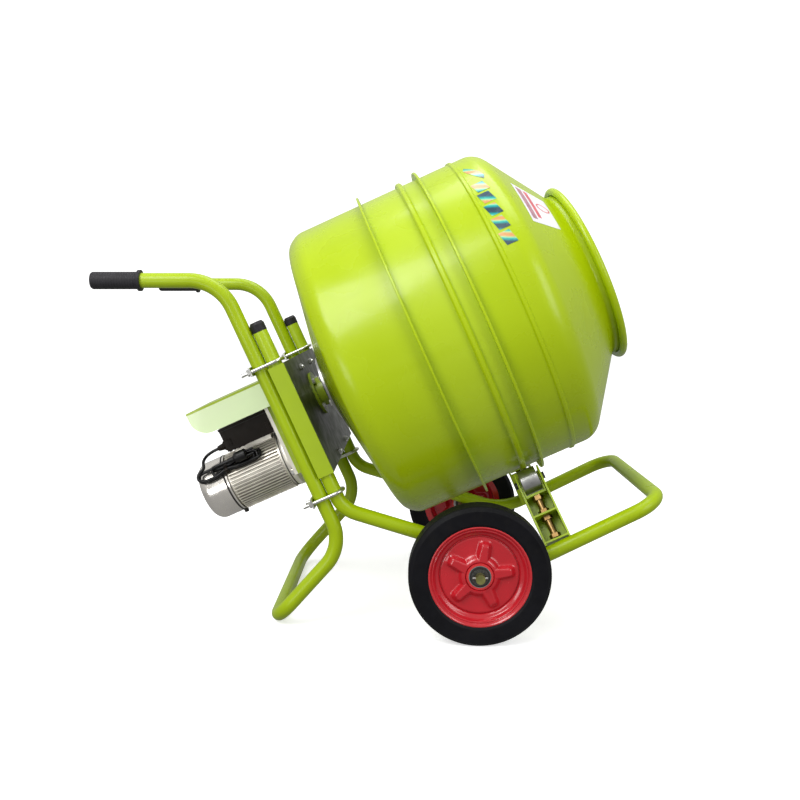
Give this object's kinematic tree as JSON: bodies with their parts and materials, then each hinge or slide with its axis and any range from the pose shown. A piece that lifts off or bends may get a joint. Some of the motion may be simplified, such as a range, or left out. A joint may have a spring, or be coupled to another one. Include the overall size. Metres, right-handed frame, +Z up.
{
  "type": "portable concrete mixer",
  "caption": "Portable electric concrete mixer with a tilted green drum on a tube frame, two red-rimmed wheels, a geared motor, push handles and a tied mains lead.",
  "frame": {"origin": "on the floor, under the middle of the machine", "axes": "+X towards the drum mouth, +Y to the left side of the machine, +Z up"},
  "size_m": [1.24, 0.764, 1.054],
  "materials": {
    "drum_paint": "gloss",
    "frame_paint": "gloss",
    "housing_paint": "gloss",
    "zinc": "satin",
    "yellow_zinc": "satin",
    "steel": "machined",
    "aluminium": "cast",
    "chrome": "polished",
    "red_paint": "gloss",
    "tyre": "moulded",
    "black_rubber": "moulded",
    "black_plastic": "moulded",
    "grip": "moulded",
    "cord": "satin",
    "stator_steel": "laminated",
    "capacitor": "satin"
  },
  "bodies": {
    "frame": {"adjuster_nuts": "yellow_zinc", "axle": "steel", "axle_washers": "zinc", "base_frame": "frame_paint", "bearing_housing": "housing_paint", "cable_gland": "black_plastic", "cord_hank": "cord", "cord_tie": "black_plastic", "fan_cover": "chrome", "gearbox_bolts": "zinc", "gearbox_cover": "aluminium", "gearbox_housing": "housing_paint", "handle_frame": "frame_paint", "handle_grips": "grip", "hex_screws": "zinc", "idler_bearings": "steel", "motor_bearings": "steel", "motor_front_shield": "aluminium", "motor_hood": "frame_paint", "motor_housing": "aluminium", "motor_rear_shield": "aluminium", "mounting_plate": "frame_paint", "power_cord": "cord", "power_plug": "black_rubber", "roller_adjusters": "yellow_zinc", "roller_axles": "steel", "roller_brackets": "frame_paint", "roller_yokes": "frame_paint", "shaft_bearings": "steel", "small_nuts": "zinc", "split_pins": "zinc", "start_capacitor": "capacitor", "stator": "stator_steel", "terminal_box": "black_plastic", "terminal_box_lid": "black_plastic", "u_bolt_saddles": "zinc", "u_bolts": "zinc", "upright_caps": "black_plastic"},
    "drum": {"drum_rear_shell": "drum_paint", "drum_front_shell": "drum_paint", "drum_rear_hoop": "drum_paint", "drum_track_hoop": "drum_paint", "drum_seam_flange": "drum_paint", "mouth_lip": "drum_paint", "mixing_blades": "drum_paint", "drum_shaft": "steel", "output_gear": "steel", "hub_bolts_and_nuts": "zinc"},
    "idler": {"idler_shaft": "steel", "idler_wheel": "steel"},
    "rotor": {"motor_rotor": "steel", "cooling_fan": "black_plastic"},
    "wheel_left": {"tyre_left": "tyre", "rim_left": "red_paint", "wheel_bearings_left": "steel"},
    "wheel_right": {"tyre_right": "tyre", "rim_right": "red_paint", "wheel_bearings_right": "steel"},
    "roller_left": {"roller_left": "steel"},
    "roller_right": {"roller_right": "steel"}
  },
  "joints": [
    {"name": "drum_spin", "type": "hinge", "parent": "frame", "child": "drum", "pos_m": [0.087, 0, 0.612], "axis": [0.9121, 0, 0.4099], "continuous": true},
    {"name": "idler_spin", "type": "hinge", "parent": "frame", "child": "idler", "pos_m": [0.11537, 0.0476, 0.54888], "axis": [0.9121, 0, 0.4099], "continuous": true},
    {"name": "motor_spin", "type": "hinge", "parent": "frame", "child": "rotor", "pos_m": [0.13496, 0, 0.50528], "axis": [0.9121, 0, 0.4099], "continuous": true},
    {"name": "roller_left_spin", "type": "hinge", "parent": "frame", "child": "roller_left", "pos_m": [0.33036, 0.15, 0.312], "axis": [0.9121, 0, 0.4099], "continuous": true},
    {"name": "roller_right_spin", "type": "hinge", "parent": "frame", "child": "roller_right", "pos_m": [0.33036, -0.15, 0.312], "axis": [0.9121, 0, 0.4099], "continuous": true},
    {"name": "wheel_left_spin", "type": "hinge", "parent": "frame", "child": "wheel_left", "pos_m": [0.203, 0.328, 0.15], "axis": [0, 1, 0], "continuous": true},
    {"name": "wheel_right_spin", "type": "hinge", "parent": "frame", "child": "wheel_right", "pos_m": [0.203, -0.328, 0.15], "axis": [0, 1, 0], "continuous": true}
  ],
  "couplings": [
    {"joint": "idler_spin", "follows": "drum_spin", "ratio": -6},
    {"joint": "motor_spin", "follows": "drum_spin", "ratio": 39},
    {"joint": "roller_left_spin", "follows": "drum_spin", "ratio": -12.862},
    {"joint": "roller_right_spin", "follows": "drum_spin", "ratio": -12.862}
  ]
}
